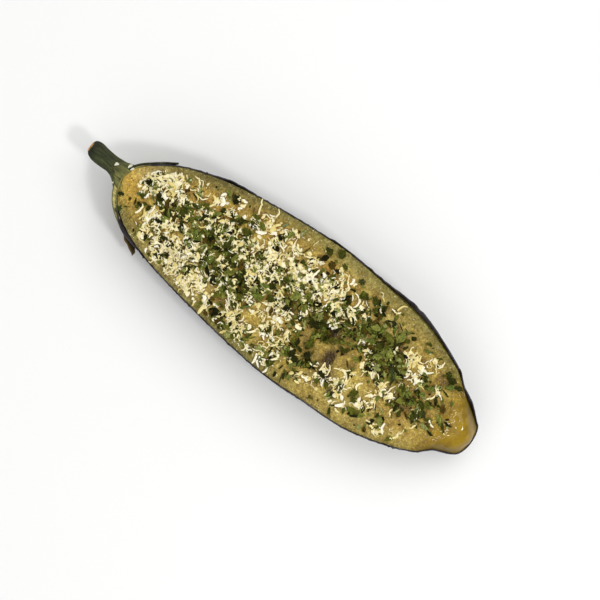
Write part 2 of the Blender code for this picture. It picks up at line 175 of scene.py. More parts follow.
# Where the finer toppings lie: (x, y, reach along, reach across, how thickly)
FINE_CHEESE = (
    (-74, 8, 13, 6, 1.0),
    (-60, -10, 12, 7, 0.4),
    (-42, -18, 16, 7, 1.0),
    (-44, -15, 10, 6, 2.0),
    (-38, 6, 12, 6, 0.3),
    (-18, 4, 12, 7, 0.5),
    (-18, 21, 8, 4, 0.3),
    (-2, 13, 12, 6, 0.75),
    (0, -7, 8, 4, 0.6),
    (-12, -24, 13, 6, 0.4),
    (15, 15, 8, 4, 0.5),
    (28, 8, 5, 4, 0.4),
    (-26, -12, 10, 6, 0.65),
    (4, -17, 5, 8, 0.3),
    (10, -28, 14, 4, 0.25),
    (67, 10, 5, 4, 0.4),
    (64, -4, 3, 3, 0.2),
    (62, -15, 5, 4, 0.1),
    (45, -14, 4, 3, 0.15),
    (70, -24, 10, 4, 0.15),
)
FINE_PARSLEY = (
    (-38, 0, 14, 7, 0.65),
    (-22, -8, 11, 6, 0.9),
    (-60, 0, 12, 7, 0.3),
    (-5, 1, 10, 6, 0.4),
    (18, 4, 11, 6, 0.85),
    (22, -15, 12, 6, 0.2),
    (40, 7, 10, 7, 0.8),
    (55, 5, 9, 7, 0.75),
    (77, 4, 6, 5, 0.2),
    (78, -8, 7, 5, 0.3),
    (-16, -27, 12, 4, 0.2),
)
STRAY_SHARE = 0.05  # of the finer toppings away from these
# They fall in pinches of this many, spread this far, seldom closer than this, and keep off the two rims and
# the tip by this
CHEESE_FALL = ((3, 13), (0.6, 2.0), 0.55, (2.8, 4.6), 25)
LEAF_FALL = ((2, 9), (1.0, 3.0), 1.1, (3.0, 4.4), 13)
# Flakes that stand out: (x, y, half-length, half-width, turn in degrees, colour)
PICKED_FLAKES = (
    (-84.3, -7.2, 1.6, 1.2, 10, "#2b3314"),
    (-81.3, -13.2, 1.9, 1.3, 60, "#39441c"),
    (-76.8, 3.6, 1.4, 0.9, -15, "#2f3a18"),
    (-73.8, -5.8, 1.3, 1.0, 0, "#38421d"),
    (61.0, 3.0, 5.6, 1.5, -50, "#2f3a22"),
    (67.5, -7.0, 2.2, 1.5, 60, "#1d2114"),
    (70.0, -17.8, 1.9, 1.7, 0, "#1a1d0c"),
    (-23.0, 10.2, 2.7, 1.1, 80, "#63684e"),
    (26.0, 26.2, 2.2, 1.7, 20, "#3a3f1e"),
    (58.0, -23.8, 2.8, 1.5, 15, "#20240e"),
    (24.0, -20.8, 2.2, 2.0, 70, "#2a3020"),
    (49.5, 19.5, 2.8, 1.6, -30, "#2b3015"),
    (82.5, 16.5, 1.9, 1.7, 40, "#2f340f"),
    (9.5, -6.5, 1.9, 1.4, 20, "#4a5a3a"),
    (-8.0, -12.0, 2.8, 1.0, 75, "#55613a"),
    (-77.0, -2.0, 2.2, 1.0, 25, "#6a7340"),
    (-16.5, 26.0, 1.9, 0.7, 65, "#77805a"),
    (82.0, -6.0, 3.6, 2.6, 30, "#34371a"),
)
# Leaf stalks: (x, y, half-length, half-width, turn in degrees)
STALKS = ((63.2, -7.8, 4.5, 0.28, -52), (6.2, -0.6, 5.6, 0.42, -68), (7.5, 4.2, 3.2, 0.3, 20))
# Long shreds: (x, y, radius, length, turn in degrees)
LONG_SHREDS = (
    (-62.5, -8.3, 14, 10, 110),
    (-51.5, -19.8, 16, 12, 120),
    (-59.5, 18.2, 6, 7, 60),
    (-48.0, 13.2, 9, 9, -30),
    (-30.0, 24.5, 12, 11, 20),
    (-22.0, 26.2, 15, 9, 5),
    (-2.5, 20.0, 20, 9, -80),
    (-12.0, -24.5, 13, 12, 20),
    (9.0, -23.0, 8, 8, -60),
    (22.0, 21.5, 16, 9, 25),
    (43.0, -11.0, 9, 7, -60),
    (67.0, -22.0, 12, 6, -70),
    (68.0, 14.0, 10, 5, 70),
    (82.0, 3.0, 9, 6, -40),
)
# Scuffs and shreds of cheese on the stem and calyx: (x, y, lift)
STEM_SHREDS = ((-94.0, 2.2, -0.1), (-88.6, 5.2, -0.4), (-87.0, 4.8, -0.1), (-90.4, -4.9, -1.0))

# Sizes that the patterns of the materials repeat at. Pulp cells and the strings of a stalk are 0.1 to 0.3 mm,
# so these are drawn coarser than they are, to show.
MOTTLE, PULP_GRAIN, PULP_CELLS = 4.5, 1.6, 0.9
CHAR_PATCHES, SKIN_STREAKS, SKIN_STRETCH = 11, 1.3, 0.22
SPECKLE = 0.7
STRINGS, STRING_STRETCH = 0.8, 0.13

# Stem and calyx: rings as (x, y, z) of the centre, then the half-width and the half-height
STEM_RINGS = (
    (-109.5, 1.6, 18.2, 1.4, 1.4),
    (-109.2, 1.6, 18.2, 2.2, 2.1),
    (-108.6, 1.6, 18.2, 2.9, 2.8),
    (-107.6, 1.5, 18.3, 3.6, 3.5),
    (-106.2, 1.4, 18.5, 4.2, 4.0),
    (-104.5, 1.3, 18.6, 4.5, 4.3),
    (-100, 0.9, 19.2, 4.2, 4.0),
    (-96, 0.8, 19.7, 4.0, 3.9),
    (-93, 0.4, 19.9, 4.7, 4.5),
    (-90.5, -0.4, 19.8, 5.9, 5.5),
    (-88.5, -1.0, 19.2, 7.2, 6.6),
    (-86, -1.4, 18.4, 8.0, 7.0),
)
STEM_SIDES, STEM_STEPS, STEM_CROWDING = 60, 60, 1.35
STEM_RIDGES, RIDGE_HEIGHT = 5, 0.28
STEM_RIBS, RIB_HEIGHT, STEM_LUMPS = 17, 0.1, 0.35
END_TILT, END_REACH, END_HALF = 0.16, 2.5, 4  # the cut end faces a little upwards
CALYX_GAP, CALYX_LIFT = 0.35, 0.4
KNIFE_CLIMB, KNIFE_REACH = 3, 60
# Sepals: angle round the fruit, half-angle, length from the heel, thickness, curl of the dried tip, how brown
SEPALS = (
    (-80, 16, 14, 1.2, 0.0, 0.1),
    (-60, 22, 26, 1.3, 6.5, 1.0),
    (-15, 27, 21, 1.3, 0.8, 0.3),
    (34, 26, 24, 1.2, 1.2, 0.3),
    (76, 20, 17, 0.55, 1.0, 0.5),
)
SEPAL_START, SEPAL_CURL = 0.6, 3.5
SEPAL_GRID = (44, 22)
SEPAL_TAPER, SEPAL_BLUNTNESS, SEPAL_TIP, SEPAL_RAG = 2.2, 0.8, 0.12, 0.3
SEPAL_WAVE, MIDRIB_HEIGHT, MIDRIB_WIDTH = 0.35, 0.2, 0.12
CHAR_START, CHAR_FADE = 0.62, 0.3  # along a sepal, as shares of its length
GREEN_SIDE, GREEN_FADE = 66, 12  # degrees round the fruit


def linear(code):
    """An sRGB hex value as linear red, green and blue."""
    channels = [int(code[k : k + 2], 16) / 255 for k in (1, 3, 5)]
    return np.array([c / 12.92 if c <= 0.04045 else ((c + 0.055) / 1.055) ** 2.4 for c in channels])


def smooth_step(value):
    value = min(max(value, 0.0), 1.0)
    return value * value * (3 - 2 * value)


def through(points, column, place):
    """The value at place of a smooth curve through column of points, whose first column is the place."""
    last = len(points) - 1
    k = next((i for i in range(last) if place <= points[i + 1][0]), last - 1)
    near, far = points[k], points[k + 1]
    before, after = points[max(k - 1, 0)], points[min(k + 2, last)]
    span = far[0] - near[0]
    slope_near = (far[column] - before[column]) / (far[0] - before[0])
    slope_far = (after[column] - near[column]) / (after[0] - near[0])
    t = (place - near[0]) / span
    return (
        near[column] * (1 + 2 * t) * (1 - t) ** 2
        + slope_near * span * t * (1 - t) ** 2
        + far[column] * t * t * (3 - 2 * t)
        - slope_far * span * t * t * (1 - t)
    )


def turn_at(distance):
    share = min(max(distance / FRUIT_LENGTH, 0.0), 1.0)
    return math.acos(1 - 2 * share) / math.pi


RIM_TURNS = [(turn_at(row[0]), row[1], row[2]) for row in RIM]


def middle_and_half(x):
    """Y half-way between the skin's two cut edges, and half the distance between them."""
    place = turn_at(x - HEEL_X)
    low, high = through(RIM_TURNS, 1, place), through(RIM_TURNS, 2, place)
    return (low + high) / 2, max((high - low) / 2, 0.0)


def rim_height(x, t):
    """Height of the flat cut at x, t across it."""
    reach = (x - MIDDLE_X) / (FRUIT_LENGTH / 2)
    droop = (TIP_DROOP if reach > 0 else HEEL_DROOP) * abs(reach) ** 3
    return CUT_HEIGHT - droop + SIDE_RISE * t * (1 - abs(reach) ** 2)


def tear_closeness(x, y):
    """1 in the middle of the tear, falling to 0 away from it."""
    spot, nearest = Vector((x, y)), 1000.0
    for a, b in zip(TEAR, TEAR[1:]):
        start, end = Vector(a), Vector(b)
        share = min(max((spot - start).dot(end - start) / (end - start).length_squared, 0), 1)
        nearest = min(nearest, (spot - start.lerp(end, share)).length)
    return math.exp(-((nearest / TEAR_WIDTH) ** 2))


def tear_depth(x, y):
    wander = 0.6 + 0.4 * noise.noise(Vector((x, y, 0)) / 7)
    return TEAR_DEPTH * wander * tear_closeness(x, y)


def tip_share(x):
    """0 on the flesh, rising to 1 at the end of the smooth bare tip."""
    return smooth_step(1 - (TIP_X - x) / TIP_LENGTH)


def tip_fall(x, to_rim):
    """How far the smooth tip rounds down towards its rim."""
    off_side = max(1 - to_rim / TIP_ROUND_WIDTH, 0) ** 2
    off_end = max(1 - (TIP_X - x) / TIP_ROUND_WIDTH, 0) ** 2
    return TIP_ROUND * tip_share(x) * (1 - (1 - off_side) * (1 - off_end))


def weight_at(x, y, patches):
    return max(math.exp(-(((x - px) / a) ** 2) - ((y - py) / b) ** 2) for px, py, a, b in patches)


def cut_face(x, t):
    """A point of the bare cut face: x along the fruit, t across it from -1 at one rim to 1 at the other."""
    middle, half = middle_and_half(x)
    y = middle + t * half
    to_rim = half * (1 - abs(t))
    inside = smooth_step(to_rim / RELIEF_RIM)
    lump = noise.fractal(Vector((x, y, 3)) / LUMP_SIZE, 0.8, 2.0, 2) * LUMP_HEIGHT
    relief = CROWN * (1 - t * t) + lump - tear_depth(x, y)
    return Vector((x, y, rim_height(x, t) - tip_fall(x, to_rim) + relief * inside))


def resting(z):
    """z kept on the table, with the turn into the flat softened."""
    if z > FLOOR_BLEND:
        return z
    return max(z + FLOOR_BLEND, 0.0) ** 2 / (4 * FLOOR_BLEND)


def belly(x, angle, wrinkle=0.0):
    """A point of the skin: angle round the section, from -90 degrees at one rim to 90 at the other."""
    middle, half = middle_and_half(x)
    angle = min(max(angle, -90.0), 90.0)
    t, low = math.sin(math.radians(angle)), math.cos(math.radians(angle))
    fullness = min(half / 12, 1)
    swell = BELLY * math.exp(-(((x - BELLY_X) / BELLY_REACH) ** 2)) * smooth_step(angle / 30) + BELLY_REST
    swell *= low / BELLY_DEPTH * math.exp(1 - low / BELLY_DEPTH)
    pucker = noise.noise(Vector((x / 26, angle / 16, 5))) * PUCKER * smooth_step(low * 3) + wrinkle * low
    drop = half * DEPTH_TO_HALF_WIDTH * low**0.9 + pucker * fullness
    y = middle + t * half + math.copysign((swell + wrinkle * abs(t)) * fullness, t)
    return Vector((x, y, resting(rim_height(x, t) - tip_fall(x, 0) - drop)))


def drawn_out(share, amount):
    """share with its steps crowded towards 1."""
    return amount * math.sin(math.pi / 2 * share) + (1 - amount) * share


def disc(u, v):
    """The point of a round disc for (u, v), each from -1 to 1."""
    v = drawn_out(v, SIDE_CROWDING)
    return u * math.sqrt(1 - v * v / 2), v * math.sqrt(1 - u * u / 2)


def on_fruit(across_x, across_y):
    """The place along the fruit, and from rim to rim, of a point of the unit disc."""
    room = math.sqrt(max(1 - across_x * across_x, 0.0))
    t = min(max(across_y / room, -1.0), 1.0) if room > 1e-6 else 0.0
    return MIDDLE_X + across_x * FRUIT_LENGTH / 2, t


def face_place(u, v):
    """The place on the cut face for (u, v), closer together towards the rim."""
    across_x, across_y = disc(u, v)
    reach = math.hypot(across_x, across_y)
    if reach > 1e-9:
        scale = drawn_out(reach, RIM_CROWDING) / reach
        across_x, across_y = across_x * scale, across_y * scale
    return on_fruit(across_x, across_y)


def add_sheet(bm, point_at, grid, facing_up=True):
    """A grid whose corners are point_at(u, v), with u and v from -1 to 1."""
    made = bmesh.ops.create_grid(bm, x_segments=grid[0], y_segments=grid[1], size=1)["verts"]
    for corner in [v for v in made if len(v.link_faces) == 1]:
        quad = corner.link_faces[0]
        bmesh.utils.face_split(quad, corner, max(quad.verts, key=lambda v: (v.co - corner.co).length))
    if not facing_up:
        bmesh.ops.reverse_faces(bm, faces=list({face for corner in made for face in corner.link_faces}))
    for corner in made:
        corner.co = point_at(corner.co.x, corner.co.y)
    return made


# Sockets of a Mix node that mixes colours
SHARE, FIRST, SECOND, RESULT = 0, 6, 7, 2


def add_node(tree, kind, inputs=(), **settings):
    """A node with its settings, each input given a value or the socket that feeds it."""
    made = tree.nodes.new(kind)
    for name, value in settings.items():
        setattr(made, name, value)
    for name, value in dict(inputs).items():
        if isinstance(value, bpy.types.NodeSocket):
            tree.links.new(value, made.inputs[name])
        else:
            made.inputs[name].default_value = value
    return made


def new_material(name, **finish):
    """A material with its Principled shader's uniform values set, and the shader and tree to add to."""
    made = bpy.data.materials.new(name)
    made.use_nodes = True
    shader = made.node_tree.nodes["Principled BSDF"]
    for socket, value in finish.items():
        shader.inputs[socket.replace("_", " ").title().replace("Ior", "IOR")].default_value = value
    return made, made.node_tree, shader


def tinted_material(name, **finish):
    """A new material, its tree and shader, the piece's own tint, and where on the piece a point is."""
    made, tree, shader = new_material(name, **finish)
    tint = add_node(tree, "ShaderNodeAttribute", attribute_name="tint")
    return made, tree, shader, tint, add_node(tree, "ShaderNodeTexCoord").outputs["Object"]


def finish_surface(tree, shader, colour, pattern, high, strength):
    """Gives the shader its colour, and relief from a pattern, so many millimetres high."""
    tree.links.new(colour, shader.inputs["Base Color"])
    bump = add_node(tree, "ShaderNodeBump", {"Height": pattern, "Distance": high * MM, "Strength": strength})
    tree.links.new(bump.outputs[0], shader.inputs["Normal"])


def shaded(tree, colour, pattern, span, low, high):
    """colour multiplied from low to high as pattern goes through span."""
    share = add_node(tree, "ShaderNodeMapRange", {"Value": pattern, "From Min": span[0], "From Max": span[1]})
    shade = add_node(
        tree,
        "ShaderNodeMix",
        {SHARE: share.outputs[0], FIRST: (*low, 1), SECOND: (*high, 1)},
        data_type="RGBA",
    )
    made = add_node(
        tree,
        "ShaderNodeMix",
        {SHARE: 1.0, FIRST: colour, SECOND: shade.outputs[RESULT]},
        data_type="RGBA",
        blend_type="MULTIPLY",
    )
    return made.outputs[RESULT]


def finish_piece(name, bm, material, node, tint=None):
    """The piece as an object in the scene, scaled from millimetres and kept inside the solids' box."""
    mesh = bpy.data.meshes.new(name)
    bm.to_mesh(mesh)
    bm.free()
    return place_piece(name, mesh, material, node, tint)


def place_piece(name, mesh, material, node, tint=None):
    places = np.empty(len(mesh.vertices) * 3, np.float32)
    mesh.vertices.foreach_get("co", places)
    places = places.reshape(-1, 3)
    if tint is not None:
        colours = tint(places)
        layer = mesh.attributes.new("tint", "FLOAT_COLOR", "POINT")
        layer.data.foreach_set("color", np.ascontiguousarray(colours, np.float32).ravel())
    places = np.clip(places * MM, np.array(CAD_LOW) + 1e-6, np.array(CAD_HIGH) - 1e-6)
    mesh.vertices.foreach_set("co", places.astype(np.float32).ravel())
    mesh.update()
    mesh.materials.append(material)
    made = bpy.data.objects.new(name, mesh)
    bpy.context.scene.collection.objects.link(made)
    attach(made, "root")
    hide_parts(node)
    return made


RIM_X = np.linspace(HEEL_X, TIP_X, 400)
RIM_MIDDLE, RIM_HALF = np.array([middle_and_half(x) for x in RIM_X]).T


def to_rim_of(places):
    """Distance in from the skin's edge, for an array of points."""
    x, y = places[:, 0], places[:, 1]
    return np.interp(x, RIM_X, RIM_HALF) - np.abs(y - np.interp(x, RIM_X, RIM_MIDDLE))


def nearness(places, spots):
    """How close each point is to the nearest of spots, (x, y, reach along, reach across), from 0 to 1."""
    x, y = places[:, 0], places[:, 1]
    return np.max([np.exp(-(((x - px) / a) ** 2) - ((y - py) / b) ** 2) for px, py, a, b in spots], axis=0)


def plain(places, code):
    """The one colour for every point."""
    return np.tile(np.append(linear(code), 1.0), (len(places), 1))


def mixed(colours, code, weight):
    """colours with the weight's share of another colour."""
    weight = np.clip(weight, 0, 1)[:, None]
    return colours * (1 - weight) + np.append(linear(code), 1.0) * weight


# Flesh colours, and where the flesh is browner, yellower or wet, as (x, y, reach along, reach across).
# The darker colour at the smooth tip's edge is painted shade, and so in part is the brown under the parsley.
GOLD, AMBER, STRAW, OLIVE, HEEL_GOLD = "#a68d3a", "#ae8428", "#bba95a", "#7c763a", "#cdaa42"
MUSTARD, TIP_EDGE_SHADE, WET_BROWN, PALE_LUMP, GREY_OLIVE = "#93760a", "#584808", "#402e00", "#cdb95c", "#7c7640"
HEEL_OLIVE, HEEL_OLIVE_SPOTS = "#6b6a35", ((-87, -8, 3, 5), (-82, -14, 5, 3.5))
DULL_OLIVE, STAIN = "#5e5626", "#6a4f16"
AMBER_SPOTS = (
    (-79, 1, 8, 7),
    (-66, 4, 12, 8),
    (14, 22, 12, 6),
    (-20, 22, 12, 5),
    (-52, 12, 12, 6),
    (30, 12, 12, 8),
    (72, -14, 12, 6),
)
STRAW_SPOTS = ((58, -21, 26, 10), (20, 28, 20, 4), (45, 20, 16, 5), (0, -28, 30, 4))
WET_SPOTS = (
    (-14, -9, 5, 2),
    (4, -3, 7, 2.5),
    (28, 0, 4.5, 3),
    (35, -10, 2.5, 5),
    (37, -17, 3.5, 3.5),
    (45, -22, 2.5, 2.5),
    (-28, -7, 4, 2),
)
# Where the flesh lies under the parsley it is darker: partly damp, partly painted shade from the flakes above
DAMP_AND_SHADED_SPOTS = ((26, 3, 12, 7), (31, -15, 9, 6), (50, 8, 11, 8), (72, -5, 9, 7), (-18, -9, 9, 5))
PALE_SPOTS = ((51, -15, 3.5, 4),)
SOAKED, SOAKED_SPOTS = "#cdbb7c", ((-44, -17, 15, 7), (-74, 8, 12, 6), (-2, 13, 12, 6), (14, 15, 7, 4))
# How far in from the rim these colours reach, and how far from the heel
OLIVE_RIM, SHADY_RIM, GREY_RIM, TIP_SHADE_RIM, BARE_RIM = 8, 6, 1.5, 3.5, 4
HEEL_GLOW, HEEL_CLEAR, HEEL_BLAND = 16, 12, 6
SALLOW_X, SALLOW_REACH = 10, 20  # where the olive of the rim fades on one side
SHADY_X, SHADY_REACH = -52, 18
TIP_TONE, TIP_FADE, SMOOTH_FADE = 24, 8, 7
STAIN_LENGTH, STAIN_WIDTH = 6, 5


def flesh_tint(places):
    """Colour of the flesh, with its graininess as the alpha."""
    x, y = places[:, 0], places[:, 1]
    from_heel, to_rim = x - HEEL_X, to_rim_of(places)
    colours = plain(places, GOLD)
    colours = mixed(colours, AMBER, 0.8 * nearness(places, AMBER_SPOTS))
    colours = mixed(colours, STRAW, 0.9 * nearness(places, STRAW_SPOTS))
    colours = mixed(colours, HEEL_GOLD, np.clip(1 - from_heel / HEEL_GLOW, 0, 1) ** 0.7)
    kept = 1 - 0.8 * np.clip((x - SALLOW_X) / SALLOW_REACH, 0, 1) * (y < 0)
    past_heel = np.clip(from_heel / HEEL_CLEAR, 0, 1)
    at_rim = np.clip(1 - to_rim / OLIVE_RIM, 0, 1) ** 0.8
    colours = mixed(colours, OLIVE, 0.95 * kept * past_heel * at_rim)
    shady = np.clip(1 - to_rim / SHADY_RIM, 0, 1) * np.exp(-(((x - SHADY_X) / SHADY_REACH) ** 2)) * (y > 0)
    colours = mixed(colours, DULL_OLIVE, 0.8 * shady)
    colours = mixed(colours, HEEL_OLIVE, 0.7 * nearness(places, HEEL_OLIVE_SPOTS))
    colours = mixed(colours, GREY_OLIVE, 0.7 * np.exp(-((to_rim / GREY_RIM) ** 2)) * np.clip(-y / 10, 0, 1))
    tip = np.clip((x - (TIP_X - TIP_TONE)) / TIP_FADE, 0, 1)
    colours = mixed(colours, MUSTARD, tip)
    # Painted shade where the smooth tip rounds down towards its rim
    colours = mixed(colours, TIP_EDGE_SHADE, 0.85 * tip * np.exp(-((to_rim / TIP_SHADE_RIM) ** 2)))
    stain = [noise.fractal(Vector((a / STAIN_LENGTH, b / STAIN_WIDTH, 3)), 0.8, 2.1, 3) for a, b in zip(x, y)]
    past_heel = np.clip((from_heel - HEEL_BLAND) / 10, 0, 1)
    middling = np.clip((to_rim - BARE_RIM) / 5, 0, 1) * past_heel * (1 - tip)
    colours = mixed(colours, STAIN, 0.75 * middling * np.clip(np.array(stain) * 1.6, 0, 1))
    colours = mixed(colours, PALE_LUMP, 0.5 * middling * np.clip(np.array(stain) * -1.3, 0, 1))
    # Brown under the parsley: some dampness, with painted shade
    colours = mixed(colours, WET_BROWN, 0.4 * nearness(places, DAMP_AND_SHADED_SPOTS))
    colours = mixed(colours, SOAKED, 0.6 * nearness(places, SOAKED_SPOTS))
    colours = mixed(colours, PALE_LUMP, nearness(places, PALE_SPOTS))
    colours = mixed(colours, WET_BROWN, 1.5 * nearness(places, WET_SPOTS))
    colours[:, 3] = 1 - np.clip((x - (TIP_X - TIP_LENGTH + 2)) / SMOOTH_FADE, 0, 1)
    return colours


def inset(spot):
    """The point drawn in from the skin, raggedly."""
    middle, half = middle_and_half(spot.x)
    stray = noise.noise(Vector((spot.x / 2.2, math.copysign(3, spot.y - middle), 4)))
    ragged = FLESH_INSET * (1 + 0.7 * stray)
    y = middle + (spot.y - middle) * max(1 - ragged / max(half, ragged), 0)
    return Vector((MIDDLE_X + (spot.x - MIDDLE_X) * (1 - FLESH_INSET / (FRUIT_LENGTH / 2)), y, spot.z))


def flesh_top(u, v):
    """A point of the cut face, with the lumpy grain of cooked pulp."""
    x, t = face_place(u, v)
    spot = cut_face(x, t)
    _, half = middle_and_half(x)
    grain = noise.fractal(Vector((x, spot.y, 9)) / GRAIN_SIZE, 0.7, 2.1, 3) * GRAIN_HEIGHT
    spot.z += grain * (1 - 0.8 * tip_share(x)) * smooth_step(half * (1 - abs(t)) / 1.5)
    return inset(spot)


def flesh_under(u, v):
    """A point of the flesh where it lies in the skin."""
    x, t = on_fruit(*disc(u, v))
    spot = inset(belly(x, 90 * t))
    spot.z += FLESH_INSET * math.cos(math.radians(90 * t))
    return spot


def grilled_flesh():
    """Cooked eggplant pulp: wet with oil, mottled, with a fine grain of cells that breaks up the shine.

    The colour comes from the piece's tint, whose alpha says how grainy the flesh is. Where it is grainy,
    light flecks are partly pale pulp and partly painted glints.
    """
    made, tree, shader, tint, spot = tinted_material(
        "grilled_flesh",
        roughness=0.45,
        specular_ior_level=0.12,
        coat_weight=1.0,
        coat_roughness=0.05,
        coat_ior=1.38,
    )
    mottle, grain, pale_flecks_and_glints = (
        add_node(
            tree,
            "ShaderNodeTexNoise",
            {"Vector": spot, "Scale": 1 / (size * MM), "Detail": detail, "Roughness": roughness},
        ).outputs["Fac"]
        for size, detail, roughness in ((MOTTLE, 4.0, 0.62), (PULP_GRAIN, 4.0, 0.6), (PULP_CELLS, 2.0, 0.6))
    )
    mottled = shaded(tree, tint.outputs["Color"], mottle, (0.3, 0.7), (0.72, 0.68, 0.55), (1.25, 1.27, 1.3))
    grainy = shaded(tree, mottled, grain, (0.32, 0.66), (0.66, 0.58, 0.42), (1.2, 1.22, 1.3))
    # Light flecks: partly pale pulp, partly painted glints on the wet flesh
    flecked_and_glinting = shaded(tree, grainy, pale_flecks_and_glints, (0.5, 0.66), (0.94, 0.94, 0.93), (1.5, 1.5, 1.6))
    final = add_node(
        tree,
        "ShaderNodeMix",
        {SHARE: tint.outputs["Alpha"], FIRST: mottled, SECOND: flecked_and_glinting},
        data_type="RGBA",
    )
    tree.links.new(final.outputs[RESULT], shader.inputs["Base Color"])
    cells = add_node(tree, "ShaderNodeTexVoronoi", {"Vector": spot, "Scale": 1 / (PULP_CELLS * MM)})
    height = add_node(tree, "ShaderNodeMath", {0: grain, 1: cells.outputs["Distance"]}, operation="ADD")
    depth = add_node(
        tree, "ShaderNodeMapRange", {"Value": tint.outputs["Alpha"], "To Min": 0.1, "To Max": 0.9}
    ).outputs[0]
    fine = add_node(
        tree, "ShaderNodeBump", {"Height": height.outputs[0], "Distance": 0.65 * MM, "Strength": depth}
    )
    bump = add_node(
        tree,
        "ShaderNodeBump",
        {"Height": mottle, "Distance": 0.6 * MM, "Strength": depth, "Normal": fine.outputs[0]},
    )
    tree.links.new(bump.outputs[0], shader.inputs["Normal"])
    tree.links.new(bump.outputs[0], shader.inputs["Coat Normal"])
    return made


def make_flesh():
    bm = bmesh.new()
    add_sheet(bm, flesh_top, FLESH_GRID)
    add_sheet(bm, flesh_under, FLESH_GRID, facing_up=False)
    bmesh.ops.remove_doubles(bm, verts=bm.verts, dist=0.02)
    bmesh.ops.triangulate(bm, faces=bm.faces)
    for face in bm.faces:
        face.smooth = True
    return finish_piece("flesh", bm, grilled_flesh(), "half_eggplant", flesh_tint)


def skin_surface(u, v):
    """A point of the skin's outside, wrinkled, with its edge torn and folded in over the flesh in places."""
    x, t = on_fruit(*disc(u, v))
    angle = 90 * t
    wrinkle = WRINKLE * noise.noise(Vector((x / WRINKLE_LENGTH, angle / WRINKLE_PITCH, 2)))
    wrinkle += CREASE_SHARE * WRINKLE * noise.noise(Vector((x / CREASE_LENGTH, angle / CREASE_PITCH, 8)))
    spot = belly(x, angle, wrinkle)
    depth = middle_and_half(x)[1] * math.cos(math.radians(angle))
    at_edge = math.exp(-((depth / EDGE_REACH) ** 2))
    rag = 0.5 + 0.5 * noise.noise(Vector((x / 2.6, math.copysign(4, t), 1)))
    rag += 0.3 * noise.noise(Vector((x / 0.9, t, 6)))
    rag = min(max(rag, 0.0), 1.0) * (1 - 0.8 * tip_share(x))
    spot.z += RAGGED_LIP * rag * at_edge
    torn = noise.fractal(Vector((x / 3.5, math.copysign(2, t), 12)), 0.7, 2.2, 3)
    folds = [
        far * math.exp(-(((x - place) / reach) ** 2))
        for place, reach, side, far in SKIN_FOLDS
        if side * t > 0
    ]
    fold = max(folds, default=0) * (1 + 0.3 * torn)
    stray = EDGE_WANDER * torn * (1 - tip_share(x)) - fold
    spot.y += math.copysign(stray, t) * at_edge
    spot.z += FOLD_RISE * min(fold, 1) * at_edge
    return spot


CHAR_BLACK, DRIED_GREY, KEPT_GREEN = "#1b161a", "#4a454a", "#8a8244"
GREEN_REACH = 7


def skin_tint(places):
    """White, falling to black where the skin is green because the calyx has kept it from the sun."""
    x = places[:, 0]
    colours = plain(places, "#ffffff")
    return mixed(colours, "#000000", np.clip(1 - (x - HEEL_X) / GREEN_REACH, 0, 1) ** 0.5)


def charred_skin():
    """Eggplant skin off the grill: purple-black, dulled to grey where it has dried, with long fine wrinkles.

    The piece's tint says where it pales to green at the calyx.
    """
    made, tree, shader, tint, spot = tinted_material("charred_skin", roughness=0.55, specular_ior_level=0.3)
    long = add_node(tree, "ShaderNodeMapping", {"Vector": spot, "Scale": (SKIN_STRETCH, 1.0, 1.0)})
    patches = add_node(
        tree,
        "ShaderNodeTexNoise",
        {"Vector": spot, "Scale": 1 / (CHAR_PATCHES * MM), "Detail": 5.0, "Roughness": 0.65},
    )
    dried = add_node(
        tree, "ShaderNodeMapRange", {"Value": patches.outputs["Fac"], "From Min": 0.42, "From Max": 0.68}
    )
    charred = add_node(
        tree,
        "ShaderNodeMix",
        {SHARE: dried.outputs[0], FIRST: (*linear(CHAR_BLACK), 1), SECOND: (*linear(DRIED_GREY), 1)},
        data_type="RGBA",
    )
    paled = add_node(
        tree,
        "ShaderNodeMix",
        {SHARE: tint.outputs["Color"], FIRST: (*linear(KEPT_GREEN), 1), SECOND: charred.outputs[RESULT]},
        data_type="RGBA",
    )
    streaks = add_node(
        tree,
        "ShaderNodeTexNoise",
        {"Vector": long.outputs[0], "Scale": 1 / (SKIN_STREAKS * MM), "Detail": 4.0, "Roughness": 0.6},
    ).outputs["Fac"]
    final = shaded(tree, paled.outputs[RESULT], streaks, (0.35, 0.65), (0.6, 0.58, 0.6), (1.2, 1.2, 1.2))
    finish_surface(tree, shader, final, streaks, 0.3, 0.8)
    return made


def make_skin():
    bm = bmesh.new()
    add_sheet(bm, skin_surface, SKIN_GRID, facing_up=False)
    bmesh.ops.triangulate(bm, faces=bm.faces)
    for face in bm.faces:
        face.smooth = True
    bm.normal_update()
    inward = {tuple(corner.co): corner.normal * -SKIN_THICKNESS for corner in bm.verts}
    raised = bmesh.ops.extrude_face_region(bm, geom=bm.faces[:])
    for corner in [part for part in raised["geom"] if isinstance(part, bmesh.types.BMVert)]:
        corner.co += inward[tuple(corner.co)]
    bmesh.ops.recalc_face_normals(bm, faces=bm.faces)
    return finish_piece("skin", bm, charred_skin(), "half_eggplant", skin_tint)


def in_order(parts):
    """The corners among parts, in an order that doesn't change from run to run as an operator's own may."""
    corners = [part for part in parts if isinstance(part, bmesh.types.BMVert)]
    return sorted(corners, key=lambda corner: tuple(round(value, 4) for value in corner.co))


def shape_of(bm):
    """The mesh as arrays of its points and triangles, always in the same order."""
    bmesh.ops.triangulate(bm, faces=bm.faces)
    bm.verts.index_update()
    points = np.array([corner.co for corner in bm.verts])
    faces = np.array([[corner.index for corner in face.verts] for face in bm.faces])
    bm.free()
    order = np.lexsort(np.round(points, 4).T)
    faces = np.argsort(order)[faces]
    faces = np.array([np.roll(face, -np.argmin(face)) for face in faces])
    return points[order], faces[np.lexsort(faces.T)]


